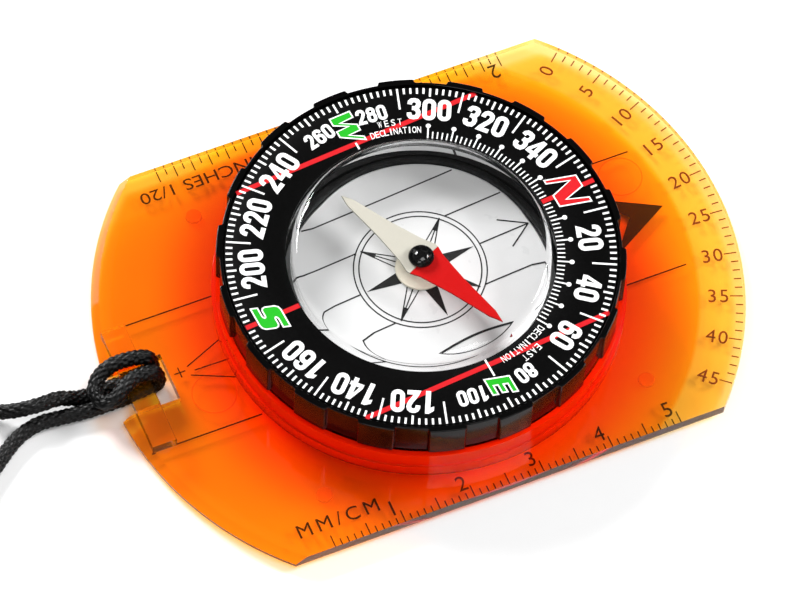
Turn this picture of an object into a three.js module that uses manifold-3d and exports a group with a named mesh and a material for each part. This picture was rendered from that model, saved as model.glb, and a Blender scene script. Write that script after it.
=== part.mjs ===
// Baseplate compass for geology and map work: a clear orange baseplate with rulers and a
// protractor end, a black turning dial with finger lugs, a liquid capsule with a pivoted
// needle, and a braided neck lanyard hitched over a bridge at the rear end.
// Millimetres, +Z up, +X along the direction of travel. The origin is on the dial's axis,
// on the surface that the compass stands on.
import * as THREE from "three";
import { mergeVertices } from "three/addons/utils/BufferGeometryUtils.js";
import Module from "manifold-3d";

const wasm = await Module();
wasm.setup();

// ---------------------------------------------------------------- driving dimensions
const GAP = 0.3; // running and seating gap between neighbouring pieces

const FOOT_HEIGHT = 0.7;
const FOOT_RADIUS = 1.1;
const FOOT_PLACE = [23.4, 23.2]; // half spacing of the four feet

const PLATE_BOTTOM = FOOT_HEIGHT + GAP;
const PLATE_THICKNESS = 1.6;
const PLATE_TOP = PLATE_BOTTOM + PLATE_THICKNESS;
const PLATE_END_RADIUS = 44.2; // both ends are arcs round the dial's axis
const PLATE_HALF_WIDTH = 31.55;
const REAR_BEVEL = 1.1;

const LEDGE_RADIUS = 25.25; // hole in the baseplate under the dial
const LEDGE_THICKNESS = 0.8;
const COLLAR_BORE = 26.95;
const COLLAR_RADIUS = 28.0;
const COLLAR_STEP_RADIUS = 27.7;
const COLLAR_STEP_Z = 4.6;
const COLLAR_TOP = 7.1;

const BRIDGE_X = [-42.3, -38.9]; // lanyard bridge, from side to side
const BRIDGE_Y = [-9.5, 9.5];
const BRIDGE_TOP = 3.95;
const BRIDGE_UNDERSIDE = 2.7;
const EYE_Y = [-3.2, 4.1]; // the open part that the cord goes through
const EYE_INNER_X = -35.9;

const DIAL_TURN = 4.25; // degrees the dial is turned from the travel line at rest
const DIAL_FACE = 12.8;
const DIAL_THICKNESS = 0.4;
const DIAL_RADII = [18.1, 26.2];
const BEZEL_LIP_TOP = 13.1;
const BEZEL_LIP_INNER = 26.5;
const BEZEL_BODY_RADIUS = 26.9;
const BEZEL_SKIRT_RADIUS = 26.6;
const BEZEL_WALL_INNER = 23.9;
const BEZEL_WEB = [18.2, 11.1]; // inner radius and underside of the web that carries the dial
const LUG_COUNT = 18;
const LUG_RADIUS = 27.4;
const LUG_WIDTH = 10.4; // degrees
const LUG_FIRST_BEARING = 10;
const LUG_BOTTOM = 7.55;
const RETAINER_RADII = [25.2, 26.7];
const RETAINER_Z = [0.3, 0.7];

const CUP_RADII = [17.3, 18.4];
const CUP_Z = [3.9, 9.9];
const CUP_FLOOR = 1.0;
const FLANGE_RADIUS = 19.2;
const FLANGE_THICKNESS = 0.6;
const LENS_RADIUS = 17.4;
const LENS_THICKNESS = 1.0;
const LENS_SHOULDER = [16.5, 14.5];
const LENS_TOP = 14.8;
const CHART_RADIUS = 16.4; // printed disc on the capsule's floor
const CHART_Z = [5.2, 5.6];
const PLUG_PLACE = [0, -12.5]; // filler plug in the cup's floor
const PLUG_RADIUS = 1.2;

const PIVOT_BASE_RADIUS = 3.4;
const PIVOT_BASE_Z = [CHART_Z[1] + GAP, CHART_Z[1] + GAP + 0.4];
const PIVOT_RADIUS = 0.35;
const PIVOT_TIP = 9.5;
const NEEDLE_BEARING = 68.8; // degrees clockwise from the dial's north at rest
const NEEDLE_HALF_LENGTH = 14.3;
const NEEDLE_HALF_WIDTH = 2.9;
const NEEDLE_WAIST = 1.9; // where the blade's sides turn in towards the tips
const NEEDLE_WAIST_HALF_WIDTH = 2.3;
const NEEDLE_TIP_HALF_WIDTH = 0.35;
const NEEDLE_Z = [9.8, 10.2];
const NEEDLE_HOLE = 1.5;
const CAP_RADIUS = 1.75;
const CAP_STEM_RADIUS = 1.2;
const CAP_BORE_RADIUS = 0.8;
const CAP_TOP = 11.6;
const JEWEL_RADIUS = 0.5;

const CORD_DIAMETER = 2.1;
const REST = 1.15; // height of the cord's centre where it lies on the surface
const COIL_CENTRE = [-82, 6];
const COIL_RADII = [8.9, 16.0];
const COIL_HEIGHT = 8.4;
const KNOT_CENTRE = [-69.5, -9, 2.7];
const KNOT_RADIUS = 2.6;

const CIRCLE_STEPS = 72;
const SMALL_STEPS = 24;

// ---------------------------------------------------------------- helpers
const rad = THREE.MathUtils.degToRad;

function toSolid(geometry) {
  const bare = geometry.clone();
  bare.deleteAttribute("normal");
  bare.deleteAttribute("uv");
  const merged = mergeVertices(bare, 1e-4);
  return new wasm.Manifold(
    new wasm.Mesh({
      numProp: 3,
      vertProperties: new Float32Array(merged.attributes.position.array),
      triVerts: new Uint32Array(merged.index.array),
    }),
  );
}

function toGeometry(solid) {
  const mesh = solid.getMesh();
  const geometry = new THREE.BufferGeometry();
  geometry.setAttribute("position", new THREE.BufferAttribute(mesh.vertProperties, 3));
  geometry.setIndex(new THREE.BufferAttribute(mesh.triVerts, 1));
  geometry.computeVertexNormals();
  return geometry;
}

// A turned body about the Z axis; the profile is a list of [radius, z] points.
function turned(profile, steps = CIRCLE_STEPS) {
  const points = profile.map(([radius, z]) => new THREE.Vector2(radius, z));
  const onAxis = profile[0][0] === 0 && profile[profile.length - 1][0] === 0;
  if (!onAxis) points.push(points[0].clone());
  return new THREE.LatheGeometry(points, steps).rotateX(Math.PI / 2);
}

function ring(inner, outer, bottom, top, steps = CIRCLE_STEPS) {
  return turned([[inner, bottom], [outer, bottom], [outer, top], [inner, top]], steps);
}

function disc(radius, bottom, top, steps = CIRCLE_STEPS) {
  return turned([[0, bottom], [radius, bottom], [radius, top], [0, top]], steps);
}

function block([x0, x1], [y0, y1], [z0, z1]) {
  const box = new THREE.BoxGeometry(x1 - x0, y1 - y0, z1 - z0);
  return box.translate((x0 + x1) / 2, (y0 + y1) / 2, (z0 + z1) / 2);
}

function extruded(shape, bottom, top, curveSegments = 12) {
  const settings = { depth: top - bottom, bevelEnabled: false, curveSegments };
  return new THREE.ExtrudeGeometry(shape, settings).translate(0, 0, bottom);
}

// A plain cord of round section along a smooth curve through the given points.
function cord(points, stepsPerDiameter = 0.5) {
  const curve = new THREE.CatmullRomCurve3(points.map((p) => new THREE.Vector3(...p)));
  const section = new THREE.Shape();
  section.absarc(0, 0, CORD_DIAMETER / 2, 0, 2 * Math.PI);
  const steps = Math.ceil((curve.getLength() / CORD_DIAMETER) * stepsPerDiameter);
  return new THREE.ExtrudeGeometry(section, { steps, curveSegments: 8, extrudePath: curve });
}

const finish = (color, roughness, metalness = 0, opacity = 1) =>
  new THREE.MeshStandardMaterial({
    color, roughness, metalness, opacity, transparent: opacity < 1,
  });

const ORANGE = finish(0xff7a00, 0.15, 0, 0.75);
const BLACK = finish(0x0c0c0d, 0.2);
const DIAL_BLACK = finish(0x070707, 0.35);
const CLEAR = finish(0xf4f7f8, 0.05, 0, 0.3);
const CHART = finish(0xdadbda, 0.45);
const CREAM = finish(0xece8da, 0.5);
const STEEL = finish(0xb9bcc0, 0.25, 1);
const NEEDLE = finish(0xe8e6de, 0.45);
const SILICONE = finish(0xffa640, 0.4, 0, 0.8);
const BRAID = finish(0x101010, 0.85);
const RUBY = finish(0xa8203a, 0.1);

const part = new THREE.Group();
const dial = new THREE.Group();
dial.rotation.z = rad(DIAL_TURN);
const needle = new THREE.Group();
needle.rotation.z = rad(-NEEDLE_BEARING);
part.add(dial);
dial.add(needle);

function add(group, name, geometry, material, position = [0, 0, 0]) {
  const mesh = new THREE.Mesh(geometry, material);
  mesh.name = name;
  mesh.position.set(...position);
  group.add(mesh);
}

// ---------------------------------------------------------------- baseplate
function plateOutline() {
  const half = Math.asin(PLATE_HALF_WIDTH / PLATE_END_RADIUS);
  const outline = new THREE.Shape();
  outline.absarc(0, 0, PLATE_END_RADIUS, -half, half);
  outline.absarc(0, 0, PLATE_END_RADIUS, Math.PI - half, Math.PI + half);
  outline.closePath();
  return outline;
}

function baseplate() {
  const ledgeTop = PLATE_BOTTOM + LEDGE_THICKNESS;
  const [barRear, barFront] = BRIDGE_X;
  const sheet = toSolid(extruded(plateOutline(), PLATE_BOTTOM, PLATE_TOP, 16));
  const collar = toSolid(turned([
    [COLLAR_BORE, ledgeTop], [COLLAR_RADIUS, ledgeTop], [COLLAR_RADIUS, COLLAR_STEP_Z],
    [COLLAR_STEP_RADIUS, COLLAR_STEP_Z], [COLLAR_STEP_RADIUS, COLLAR_TOP], [COLLAR_BORE, COLLAR_TOP],
  ]));
  const hole = toSolid(disc(LEDGE_RADIUS, 0, PLATE_TOP + 1));
  const counterbore = toSolid(disc(COLLAR_BORE, ledgeTop, COLLAR_TOP + 1));
  const bridge = toSolid(block(BRIDGE_X, BRIDGE_Y, [PLATE_BOTTOM, BRIDGE_TOP]));
  const eye = toSolid(block([barRear - 5, EYE_INNER_X], EYE_Y, [0, BRIDGE_UNDERSIDE]));
  const bevel = toSolid(turned([
    [PLATE_END_RADIUS - REAR_BEVEL, PLATE_TOP + 0.001],
    [PLATE_END_RADIUS + 0.1, PLATE_TOP - REAR_BEVEL],
    [PLATE_END_RADIUS + 0.1, PLATE_TOP + 0.001],
  ], 2 * CIRCLE_STEPS));
  const rearEnd = toSolid(block([-50, -30], [-40, 40], [0, 10]));
  const slot = toSolid(block([barFront, EYE_INNER_X], EYE_Y, [0, PLATE_TOP + 2]));
  const notch = toSolid(block([barRear - 5, barRear], EYE_Y, [0, PLATE_TOP + 2]));
  const bevelled = sheet.subtract(bevel.intersect(rearEnd));
  return bevelled.add(bridge).subtract(counterbore).subtract(hole).add(collar)
    .subtract(eye).subtract(slot).subtract(notch);
}

function foot() {
  const crown = 0.3;
  return turned([
    [0, 0], [FOOT_RADIUS - crown, 0], [FOOT_RADIUS, crown], [FOOT_RADIUS, FOOT_HEIGHT],
    [0, FOOT_HEIGHT],
  ], SMALL_STEPS);
}

add(part, "baseplate", toGeometry(baseplate()), ORANGE);
const [footX, footY] = FOOT_PLACE;
const footPlaces = [[footX, footY], [-footX, footY], [-footX, -footY], [footX, -footY]];
footPlaces.forEach(([x, y], index) => {
  add(part, `foot_${index + 1}`, foot(), SILICONE, [x, y, 0]);
});

// ---------------------------------------------------------------- turning dial
function lugBand() {
  const outline = new THREE.Shape();
  const pitch = 360 / LUG_COUNT;
  for (let k = 0; k < LUG_COUNT; k += 1) {
    const centre = k * pitch - LUG_FIRST_BEARING;
    outline.absarc(0, 0, LUG_RADIUS, rad(centre - LUG_WIDTH / 2), rad(centre + LUG_WIDTH / 2));
    outline.absarc(0, 0, BEZEL_BODY_RADIUS, rad(centre + LUG_WIDTH / 2),
      rad(centre + pitch - LUG_WIDTH / 2));
  }
  outline.closePath();
  const band = toSolid(extruded(outline, LUG_BOTTOM, BEZEL_LIP_TOP - 0.1, 4));
  return band.subtract(toSolid(disc(BEZEL_LIP_INNER + 0.2, 0, BEZEL_LIP_TOP + 1)));
}

function bezel() {
  const [webInner, webUnderside] = BEZEL_WEB;
  const seat = DIAL_FACE - DIAL_THICKNESS - GAP;
  const skirtBottom = PLATE_BOTTOM + LEDGE_THICKNESS + GAP;
  const body = turned([
    [BEZEL_WALL_INNER, RETAINER_Z[0]], [RETAINER_RADII[0] - GAP, RETAINER_Z[0]],
    [RETAINER_RADII[0] - GAP, skirtBottom], [BEZEL_SKIRT_RADIUS, skirtBottom],
    [BEZEL_SKIRT_RADIUS, LUG_BOTTOM], [BEZEL_BODY_RADIUS, LUG_BOTTOM],
    [BEZEL_BODY_RADIUS, BEZEL_LIP_TOP], [BEZEL_LIP_INNER, BEZEL_LIP_TOP],
    [BEZEL_LIP_INNER, seat], [webInner, seat], [webInner, webUnderside],
    [BEZEL_WALL_INNER, webUnderside],
  ]);
  return toSolid(body).add(lugBand());
}

add(dial, "bezel_ring", toGeometry(bezel()), BLACK);
add(dial, "retaining_ring", ring(...RETAINER_RADII, ...RETAINER_Z), BLACK);
add(dial, "graduated_dial", ring(...DIAL_RADII, DIAL_FACE - DIAL_THICKNESS, DIAL_FACE), DIAL_BLACK);

// ---------------------------------------------------------------- liquid capsule
function capsuleCup() {
  const [inner, outer] = CUP_RADII;
  const [bottom, top] = CUP_Z;
  const flangeBottom = top - FLANGE_THICKNESS;
  const floorTop = bottom + CUP_FLOOR;
  const shell = turned([
    [0, bottom], [outer, bottom], [outer, flangeBottom], [FLANGE_RADIUS, flangeBottom],
    [FLANGE_RADIUS, top], [inner, top], [inner, floorTop], [0, floorTop],
  ]);
  const fillHole = disc(PLUG_RADIUS + GAP, bottom - 1, floorTop + 1, SMALL_STEPS);
  return toSolid(shell).subtract(toSolid(fillHole.translate(...PLUG_PLACE, 0)));
}

// The clear cover: a flanged drum with a rounded shoulder and a low dome, open below.
function capsuleLens() {
  const flangeBottom = CUP_Z[1] + GAP;
  const flangeTop = flangeBottom + FLANGE_THICKNESS;
  const [shoulderRadius, shoulderZ] = LENS_SHOULDER;
  const outside = turned([
    [0, flangeBottom], [FLANGE_RADIUS, flangeBottom], [FLANGE_RADIUS, flangeTop],
    [LENS_RADIUS, flangeTop], [LENS_RADIUS, shoulderZ - 1.0],
    [(LENS_RADIUS + shoulderRadius) / 2 + 0.2, shoulderZ - 0.4], [shoulderRadius, shoulderZ],
    [shoulderRadius / 2, LENS_TOP - 0.1], [0, LENS_TOP],
  ]);
  const hollow = turned([
    [0, flangeBottom - 1], [LENS_RADIUS - LENS_THICKNESS, flangeBottom - 1],
    [LENS_RADIUS - LENS_THICKNESS, shoulderZ - 1.6],
    [shoulderRadius - 0.9, shoulderZ - LENS_THICKNESS], [0, LENS_TOP - LENS_THICKNESS],
  ]);
  return toSolid(outside).subtract(toSolid(hollow));
}

add(dial, "capsule_cup", toGeometry(capsuleCup()), CLEAR);
add(dial, "capsule_lens", toGeometry(capsuleLens()), CLEAR);
add(dial, "compass_chart", disc(CHART_RADIUS, ...CHART_Z), CHART);
add(dial, "filler_plug", disc(PLUG_RADIUS, CUP_Z[0], CUP_Z[0] + CUP_FLOOR, SMALL_STEPS), BLACK,
  [...PLUG_PLACE, 0]);

// ---------------------------------------------------------------- needle and pivot
function pivotPost() {
  const flangeBottom = PIVOT_BASE_Z[1] + GAP;
  const flangeTop = flangeBottom + 0.4;
  const flangeRadius = 2 * PIVOT_RADIUS;
  return turned([
    [0, flangeBottom], [flangeRadius, flangeBottom], [flangeRadius, flangeTop],
    [PIVOT_RADIUS, flangeTop],
    [PIVOT_RADIUS, PIVOT_TIP - 0.6], [0, PIVOT_TIP],
  ], SMALL_STEPS);
}

// A flat blade that tapers from the hub to a small point at each end.
function needleBlade() {
  const shoulder = NEEDLE_HALF_LENGTH - 1.0;
  const side = [
    [-shoulder, NEEDLE_TIP_HALF_WIDTH], [-NEEDLE_WAIST, NEEDLE_WAIST_HALF_WIDTH],
    [0, NEEDLE_HALF_WIDTH], [NEEDLE_WAIST, NEEDLE_WAIST_HALF_WIDTH],
    [shoulder, NEEDLE_TIP_HALF_WIDTH],
  ];
  const outline = [
    [-NEEDLE_HALF_LENGTH, 0], ...side.map(([x, y]) => [x, -y]), [NEEDLE_HALF_LENGTH, 0],
    ...side.toReversed(),
  ];
  const shape = new THREE.Shape(outline.map(([x, y]) => new THREE.Vector2(x, y)));
  const hole = new THREE.Path();
  hole.absarc(0, 0, NEEDLE_HOLE, 0, 2 * Math.PI);
  shape.holes.push(hole);
  return extruded(shape, ...NEEDLE_Z);
}

function pivotCap() {
  const brim = NEEDLE_Z[1] + GAP;
  const stemBottom = NEEDLE_Z[0] - 0.4;
  const boreTop = brim + 0.3;
  return turned([
    [0, boreTop], [CAP_BORE_RADIUS, boreTop], [CAP_BORE_RADIUS, stemBottom],
    [CAP_STEM_RADIUS, stemBottom], [CAP_STEM_RADIUS, brim], [CAP_RADIUS, brim],
    [CAP_RADIUS * 0.94, brim + 0.5], [CAP_RADIUS * 0.6, CAP_TOP - 0.15], [0, CAP_TOP],
  ], SMALL_STEPS);
}

add(dial, "pivot_base", disc(PIVOT_BASE_RADIUS, ...PIVOT_BASE_Z, 2 * SMALL_STEPS), CREAM);
add(dial, "pivot_post", pivotPost(), STEEL);
add(needle, "needle_blade", needleBlade(), NEEDLE);
add(needle, "pivot_cap", pivotCap(), BLACK);
add(needle, "jewel_bearing", disc(JEWEL_RADIUS, PIVOT_TIP + 0.25, PIVOT_TIP + 0.65, SMALL_STEPS), RUBY);

// ---------------------------------------------------------------- lanyard
// Over the bridge, round the standing strands at the rear, and back over the bridge.
const HITCH_ROUTE = [
  [-37.75, 2.7, 2.3], [-37.7, 2.8, 3.8], [-38.2, 3.0, 4.95], [-39.6, 3.4, 5.15],
  [-41.3, 3.6, 5.15], [-42.95, 3.6, 5.0], [-44.7, 3.2, 4.4], [-46.0, 2.1, 3.9],
  [-46.4, 0.9, 3.8], [-45.9, -0.7, 3.9], [-44.5, -1.1, 4.6], [-43.0, -0.4, 5.05],
  [-41.5, 0.4, 5.2], [-39.8, 0.7, 5.15], [-38.2, 0.55, 4.95], [-37.7, 0.4, 3.8],
  [-37.75, 0.3, 2.3],
];
const UPPER_ROUTE = [
  [-43.5, 2.6, REST], [-47.9, 2.6, 1.2], [-51.0, 2.9, 2.4], [-54.0, 2.5, 3.3],
  [-57.2, 3.3, 2.6], [-60.3, 5.1, 1.5], [-62.8, 7.9, REST], [-65.6, 12.0, REST],
  [-68.6, 17.0, REST],
];
const LOWER_ROUTE = [
  [-43.5, 0.3, REST], [-47.9, 0.35, REST], [-51.5, 0.75, REST], [-54.5, 0.95, REST],
  [-57.8, 0.0, REST], [-61.2, -2.3, REST], [-64.3, -4.9, REST], [-67.0, -7.4, 1.6],
];

function knot() {
  return new THREE.SphereGeometry(KNOT_RADIUS, SMALL_STEPS / 2, SMALL_STEPS / 3);
}

function coil() {
  const [inner, outer] = COIL_RADII;
  const corner = CORD_DIAMETER / 2;
  return turned([
    [inner + corner, 0], [outer - corner, 0], [outer, corner], [outer, COIL_HEIGHT - corner],
    [outer - corner, COIL_HEIGHT], [inner + corner, COIL_HEIGHT], [inner, COIL_HEIGHT - corner],
    [inner, corner],
  ], 48);
}

add(part, "lanyard_hitch", cord(HITCH_ROUTE, 1), BRAID);
add(part, "lanyard_strand_upper", cord(UPPER_ROUTE), BRAID);
add(part, "lanyard_strand_lower", cord(LOWER_ROUTE), BRAID);
add(part, "lanyard_knot", knot(), BRAID, KNOT_CENTRE);
add(part, "lanyard_coil", coil(), BRAID, [...COIL_CENTRE, 0]);

export default part;
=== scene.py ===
"""Baseplate compass for geology and map work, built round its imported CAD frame."""

import math

import bmesh
import bpy
from bpy.props import FloatProperty, FloatVectorProperty, IntProperty, PointerProperty
from mathutils import Matrix, Vector
from mathutils.geometry import tessellate_polygon


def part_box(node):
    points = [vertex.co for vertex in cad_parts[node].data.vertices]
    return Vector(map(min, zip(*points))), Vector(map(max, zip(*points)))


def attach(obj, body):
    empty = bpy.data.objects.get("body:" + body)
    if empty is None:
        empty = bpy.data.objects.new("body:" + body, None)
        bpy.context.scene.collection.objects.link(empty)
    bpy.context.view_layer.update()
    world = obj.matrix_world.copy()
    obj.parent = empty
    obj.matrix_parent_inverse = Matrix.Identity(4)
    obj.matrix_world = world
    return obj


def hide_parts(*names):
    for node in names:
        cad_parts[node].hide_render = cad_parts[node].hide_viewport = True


bl_info = {
    "name": "Baseplate Compass",
    "version": (1, 0, 0),
    "blender": (4, 5, 0),
    "location": "3D Viewport > Sidebar > Compass",
    "description": "Builds a geologist's baseplate compass with its dial, capsule and lanyard",
    "category": "Add Mesh",
}

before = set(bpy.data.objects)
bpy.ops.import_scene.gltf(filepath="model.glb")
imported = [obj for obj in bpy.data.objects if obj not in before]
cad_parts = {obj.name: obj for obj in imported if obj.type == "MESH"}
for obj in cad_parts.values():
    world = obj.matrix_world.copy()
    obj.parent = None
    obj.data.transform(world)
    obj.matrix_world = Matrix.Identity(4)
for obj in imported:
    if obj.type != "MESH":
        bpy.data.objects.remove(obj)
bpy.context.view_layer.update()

MM = 0.001

# Places taken from the frame, in millimetres from the dial's axis and the table.
PLATE_LOW, PLATE_HIGH = (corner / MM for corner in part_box("baseplate"))
CHART_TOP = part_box("compass_chart")[1].z / MM
DIAL_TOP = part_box("graduated_dial")[1].z / MM
BEZEL_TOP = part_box("bezel_ring")[1].z / MM
PLATE_THICKNESS = 1.6
PLATE_TOP = PLATE_LOW.z + PLATE_THICKNESS

DIAL_TURN = math.radians(4.25)  # at rest, from the travel line
NEEDLE_BEARING = math.radians(68.8)  # clockwise from the dial's north, at rest
TURNED = Matrix.Rotation(DIAL_TURN, 4, "Z")
# A place is the matrix of a piece at rest and the body that carries it.
ON_PLATE = Matrix.Identity(4), "baseplate"
ON_DIAL = TURNED, "dial"
NORTH_UP = TURNED @ Matrix.Rotation(-math.pi / 2, 4, "Z"), "dial"  # x east, y north
ON_NEEDLE = TURNED @ Matrix.Rotation(-NEEDLE_BEARING, 4, "Z"), "needle"

ROUND = 192  # steps round a full circle
INK = 0.03  # thickness of a printed mark
SKIN = 0.005  # air left between a print and what it lies on


# ---------------------------------------------------------------- colours and materials
def linear(colour):
    """Linear RGBA from an sRGB hex value."""
    parts = [((colour >> shift) & 255) / 255 for shift in (16, 8, 0)]
    return (*[p / 12.92 if p <= 0.04045 else ((p + 0.055) / 1.055) ** 2.4 for p in parts], 1.0)


def tint(colour):
    """Default of a colour property, from an sRGB hex value."""
    return linear(colour)[:3]


def rgba(value):
    """RGBA from a colour property or any three values."""
    return (*value, 1.0)


def add_node(tree, kind, sockets=None, **settings):
    """Adds a node. Each named socket takes a value, or an output to link from."""
    node = tree.nodes.new(kind)
    for name, value in settings.items():
        setattr(node, name, value)
    for name, value in (sockets or {}).items():
        if isinstance(value, bpy.types.NodeSocket):
            tree.links.new(value, node.inputs[name])
        else:
            node.inputs[name].default_value = value
    return node


def new_material(name):
    """A material with an empty node tree, and that tree."""
    material = bpy.data.materials.new(name)
    material.use_nodes = True
    material.node_tree.nodes.clear()
    return material, material.node_tree


def per_metre(size_mm):
    """Noise scale whose features are about this many millimetres across."""
    return 1 / (size_mm * MM)


def bump_from(tree, height, strength, depth_mm):
    """A surface normal from a height."""
    return add_node(tree, "ShaderNodeBump", {
        "Height": height, "Strength": strength, "Distance": depth_mm * MM,
    }).outputs["Normal"]


def grain(tree, size_mm, detail=2.0, stretch=(1, 1, 1)):
    """Noise in the piece's own space."""
    place = add_node(tree, "ShaderNodeTexCoord").outputs["Object"]
    if stretch != (1, 1, 1):
        place = add_node(tree, "ShaderNodeMapping", {
            "Vector": place, "Scale": stretch}).outputs["Vector"]
    return add_node(tree, "ShaderNodeTexNoise", {
        "Vector": place, "Scale": per_metre(size_mm), "Detail": detail}).outputs["Fac"]


def spread(tree, noise, low, high):
    """A value from low to high over the middle of a noise, where most of it lies."""
    return add_node(tree, "ShaderNodeMapRange", {
        "Value": noise, "From Min": 0.3, "From Max": 0.7,
        "To Min": low, "To Max": high}).outputs["Result"]


def shaded(tree, factor, low, high):
    """A colour between two, by factor."""
    ramp = add_node(tree, "ShaderNodeValToRGB", {"Fac": factor})
    ramp.color_ramp.elements[0].color = low
    ramp.color_ramp.elements[1].color = high
    return ramp.outputs["Color"]


def lets_light_through(tree, glass, clear):
    """Glass to the eye, and clear to lamps and to light that has bounced off something dull."""
    path = add_node(tree, "ShaderNodeLightPath")
    passing = add_node(tree, "ShaderNodeBsdfTransparent", {"Color": clear}).outputs["BSDF"]
    for ray in ("Is Diffuse Ray", "Is Shadow Ray"):
        glass = add_node(tree, "ShaderNodeMixShader", {
            0: path.outputs[ray], 1: glass, 2: passing}).outputs["Shader"]
    return glass


def output(tree, surface, volume=None):
    """Ends a material's tree with what it makes."""
    sockets = {"Surface": surface}
    if volume:
        sockets["Volume"] = volume
    add_node(tree, "ShaderNodeOutputMaterial", sockets)


def moulded_orange_acrylic(settings):
    """Injection moulded acrylic, dyed with a glowing orange: glass clear, polished by its mould,
    and deeper in colour wherever the eye looks through more of it. Its colour is also painted
    by place: painted shade, deeper and redder, by the dial and on the collar, and painted
    light, paler, on the borders."""
    material, tree = new_material("orange_acrylic_moulded")
    place = add_node(tree, "ShaderNodeSeparateXYZ", {
        0: add_node(tree, "ShaderNodeTexCoord").outputs["Object"]})
    along, across = place.outputs["X"], place.outputs["Y"]
    flat = add_node(tree, "ShaderNodeCombineXYZ", {0: along, 1: across}).outputs[0]
    reach = add_node(tree, "ShaderNodeVectorMath", {0: flat}, operation="LENGTH").outputs["Value"]

    def step(value, start_mm, end_mm):
        """Rises smoothly from 0 to 1 between two distances."""
        return add_node(tree, "ShaderNodeMapRange", {
            "Value": value, "From Min": start_mm * MM, "From Max": end_mm * MM},
            interpolation_type="SMOOTHSTEP").outputs["Result"]

    def combined(operation, first, second):
        """Two values put together by one operation."""
        return add_node(tree, "ShaderNodeMath", {0: first, 1: second},
                        operation=operation).outputs[0]

    # Painted light: the borders are painted paler, standing for light gathered at the plate's
    # edges: all of it at the front, and a little at the rear and along one side.
    front = combined("MULTIPLY", step(reach, 37.6, 38.4), step(along, 8, 20))
    rear = combined("MULTIPLY", step(reach, 41.2, 41.9), step(along, -8, -20))
    border = combined("MAXIMUM", combined("MAXIMUM", front, combined("MULTIPLY", rear, 0.08)),
                      combined("MULTIPLY", step(across, 25.0, 25.8), 0.15))
    # Painted shade: out to 38 mm the plate is painted deeper and redder towards the dial, where
    # the bezel shades it; the painted edge light is added on top.
    painted_light_and_shade = combined("MULTIPLY", combined("ADD", step(reach, 27, 38), border), 0.5)
    # Painted shade: the collar above the plate is painted a deeper red, for the black bezel
    # behind it and the long path through it; it is also made less clear.
    above = add_node(tree, "ShaderNodeMath", {
        0: place.outputs["Z"], 1: (PLATE_TOP + 0.1) * MM}, operation="GREATER_THAN").outputs[0]
    collar = combined("MULTIPLY", above, step(reach, 28.6, 28.3))
    ramp_node = add_node(tree, "ShaderNodeValToRGB", {"Fac": painted_light_and_shade})
    ramp = ramp_node.color_ramp
    # Painted shade by the dial, the plate's own body colour in the middle, painted light on the
    # borders.
    ramp.elements[0].color = rgba(settings.near_dial)
    ramp.elements[1].color = rgba(settings.border)
    ramp.elements.new(0.5).color = rgba(settings.body)
    body = add_node(tree, "ShaderNodeMix", {
        "Factor": collar, 6: ramp_node.outputs["Color"], 7: rgba(settings.collar)},
        data_type="RGBA").outputs[2]
    collar_clearness = 0.45
    clear = add_node(tree, "ShaderNodeMapRange", {
        "Value": collar, "To Min": settings.clearness,
        "To Max": collar_clearness}).outputs["Result"]
    flow = grain(tree, 9.0, 1.0)
    glass = add_node(tree, "ShaderNodeBsdfPrincipled", {
        "Base Color": body, "Roughness": 0.04, "IOR": 1.49,
        "Transmission Weight": clear,
        "Normal": bump_from(tree, flow, 0.25, 0.02),
    }).outputs["BSDF"]
    volume = add_node(tree, "ShaderNodeVolumeAbsorption", {
        "Color": rgba(settings.dye), "Density": settings.dye_density}).outputs["Volume"]
    output(tree, lets_light_through(tree, glass, body), volume)
    return material


def polished_clear_acrylic():
    """Clear moulded acrylic round damping liquid, which leaves hardly any inner reflection."""
    material, tree = new_material("clear_acrylic_polished")
    glass = add_node(tree, "ShaderNodeBsdfPrincipled", {
        "Base Color": linear(0xFCFDFD), "Roughness": 0.0, "IOR": 1.4,
        "Transmission Weight": 1.0,
    }).outputs["BSDF"]
    output(tree, lets_light_through(tree, glass, rgba((0.98, 0.98, 0.98))))
    return material


def moulded_plastic(name, colour, roughness, mottle=0.15, size_mm=0.6, depth_mm=0.01,
                    specular=0.5):
    """Opaque moulded plastic: an even colour with the faint orange peel of its mould."""
    material, tree = new_material(name)
    peel = grain(tree, size_mm)
    deep = rgba([c * (1 - mottle) for c in colour[:3]])
    shader = add_node(tree, "ShaderNodeBsdfPrincipled", {
        "Base Color": shaded(tree, peel, deep, rgba(colour[:3])),
        "Roughness": spread(tree, peel, roughness * 0.85, roughness * 1.15),
        "IOR": 1.53, "Specular IOR Level": specular,
        "Normal": bump_from(tree, peel, 0.3, depth_mm),
    })
    output(tree, shader.outputs["BSDF"])
    return material


def screen_ink(name, colour, roughness=0.4):
    """Screen printed ink: opaque, nearly flat, and a touch uneven in how thick it lies."""
    return moulded_plastic(name, colour, roughness, mottle=0.08, size_mm=0.35,
                           depth_mm=0.004, specular=0.3)


def bare_metal(name, colour, roughness):
    """Ground steel: bright, with fine marks of the wheel along it."""
    material, tree = new_material(name)
    marks = grain(tree, 0.15, 3.0, stretch=(1, 1, 0.1))
    shader = add_node(tree, "ShaderNodeBsdfPrincipled", {
        "Base Color": colour, "Metallic": 1.0,
        "Roughness": spread(tree, marks, roughness * 0.7, roughness * 1.3),
        "Normal": bump_from(tree, marks, 0.2, 0.005),
    })
    output(tree, shader.outputs["BSDF"])
    return material


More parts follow.
